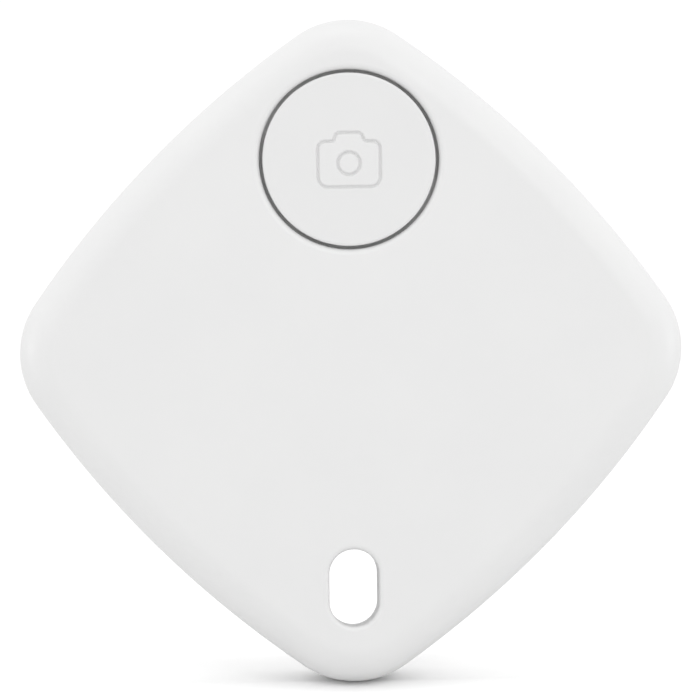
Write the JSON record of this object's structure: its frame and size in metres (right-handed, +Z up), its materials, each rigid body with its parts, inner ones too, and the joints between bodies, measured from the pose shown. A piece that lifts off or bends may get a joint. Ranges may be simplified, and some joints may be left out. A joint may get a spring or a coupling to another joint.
{
  "type": "bluetooth tracker tag",
  "caption": "Rounded-square plastic tracker tag standing on its corner, with a round shutter button, a key ring slot and a coin-operated battery door in the rear.",
  "frame": {"origin": "under the lower, slotted corner on which the tag stands upright, halfway across its width and its thickness", "axes": "+X across the tag to the right as seen from the front, +Y out of the rear face with the button facing -Y, +Z up from the slotted corner to the button's corner"},
  "size_m": [0.048, 0.009, 0.048],
  "materials": {
    "shell_plastic": "moulded ABS with a fine spark-eroded texture",
    "button_plastic": "moulded ABS with a fine spark-eroded texture and a sunk pictogram",
    "door_plastic": "moulded ABS with a fine spark-eroded texture",
    "seal_rubber": "smooth silicone",
    "board_laminate": "glass-epoxy board with solder mask and tinned pads",
    "chip_epoxy": "moulded epoxy",
    "chip_ceramic": "fired ceramic with tinned ends",
    "antenna_ceramic": "fired ceramic with tinned ends",
    "resistor_ceramic": "fired ceramic, black glaze and tinned ends",
    "crystal_lid": "brushed nickel lid",
    "coil_ferrite": "pressed ferrite",
    "led_body": "moulded white polymer",
    "led_lens": "clear resin over phosphor",
    "switch_plastic": "moulded nylon",
    "switch_plunger": "moulded nylon",
    "switch_steel": "stamped stainless steel",
    "tinned_copper": "bright tin",
    "solder": "reflowed solder",
    "piezo_brass": "rolled brass sheet",
    "piezo_ceramic": "silvered ceramic",
    "adhesive": "cured adhesive",
    "wire_red": "silicone insulation",
    "wire_black": "silicone insulation",
    "cell_steel": "nickel-plated stainless steel with radial brushing",
    "cell_gasket": "moulded polypropylene",
    "cell_core": "pressed powder",
    "contact_bronze": "gold-flashed phosphor bronze",
    "screw_steel": "zinc-plated steel"
  },
  "bodies": {
    "housing": {"front_shell": "shell_plastic", "rear_shell": "shell_plastic", "main_pcb": "board_laminate", "pcb_screws": "screw_steel", "bluetooth_soc": "chip_epoxy", "crystal_high": "crystal_lid", "crystal_low": "crystal_lid", "chip_antenna": "antenna_ceramic", "rf_inductors": "chip_ceramic", "capacitors": "chip_ceramic", "resistors": "resistor_ceramic", "boost_coil": "coil_ferrite", "driver_transistor": "chip_epoxy", "status_led_base": "led_body", "status_led_lens": "led_lens", "tact_switch_base": "switch_plastic", "tact_switch_dome": "switch_steel", "tact_switch_cover": "switch_steel", "tact_switch_terminals": "tinned_copper", "piezo_adhesive_ring": "adhesive", "piezo_plate": "piezo_brass", "piezo_ceramic": "piezo_ceramic", "piezo_wire_red": "wire_red", "piezo_wire_black": "wire_black", "wire_solder_joints": "solder", "coin_cell_can": "cell_steel", "coin_cell_gasket": "cell_gasket", "coin_cell_cap": "cell_steel", "coin_cell_core": "cell_core", "battery_contact_positive": "contact_bronze", "battery_contact_negative": "contact_bronze"},
    "button": {"shutter_button": "button_plastic", "tact_switch_plunger": "switch_plunger"},
    "door": {"battery_door": "door_plastic", "battery_door_seal": "seal_rubber"}
  },
  "joints": [
    {"name": "button_press", "type": "slide", "parent": "housing", "child": "button", "axis": [0, 1, 0], "range_m": [0, 0.0002], "stiffness_N_per_m": 8000, "deforming": ["tact_switch_dome"]},
    {"name": "battery_door_turn", "type": "hinge", "parent": "housing", "child": "door", "pos_m": [0, 0.0045, 0.024], "axis": [0, 1, 0], "range_deg": [0, 35]}
  ]
}
